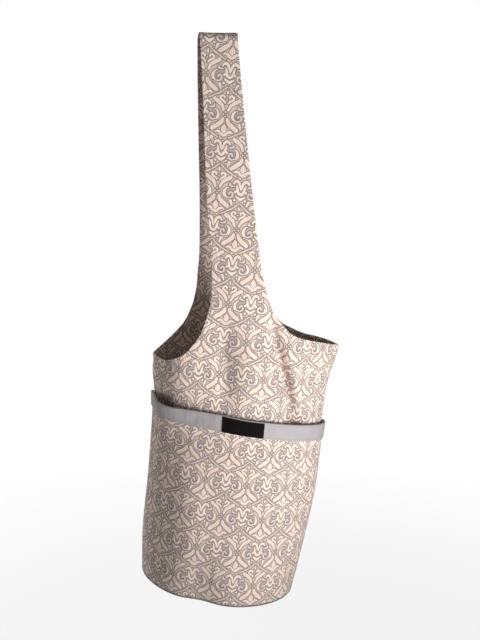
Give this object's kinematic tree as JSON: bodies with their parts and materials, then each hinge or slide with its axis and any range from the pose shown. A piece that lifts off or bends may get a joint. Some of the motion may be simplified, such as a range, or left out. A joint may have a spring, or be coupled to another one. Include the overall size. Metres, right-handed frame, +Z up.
{
  "type": "yoga tote bag",
  "caption": "Slouchy printed-cloth sling tote with a round base, a full-width front pocket with a taped edge, and a body that runs up into one shoulder strap.",
  "frame": {"origin": "hang point: inside the fold at the top of the shoulder strap, where a hook or a shoulder carries the bag", "axes": "+Z up along the hanging bag, -Y towards the front with the pocket, +X to the right when seen from the front"},
  "size_m": [0.2826, 0.2185, 0.7714],
  "materials": {
    "printed_cloth": "heavy cotton with a peach and taupe-grey scroll print",
    "grey_cloth": "plain grey cotton",
    "grey_tape": "woven grey tape",
    "black_label": "close-woven black label, bare"
  },
  "bodies": {
    "root": {"front_panel": "printed_cloth", "back_panel": "printed_cloth", "base": "grey_cloth", "pocket": "printed_cloth", "pocket_band": "grey_tape", "label": "black_label"}
  },
  "joints": []
}
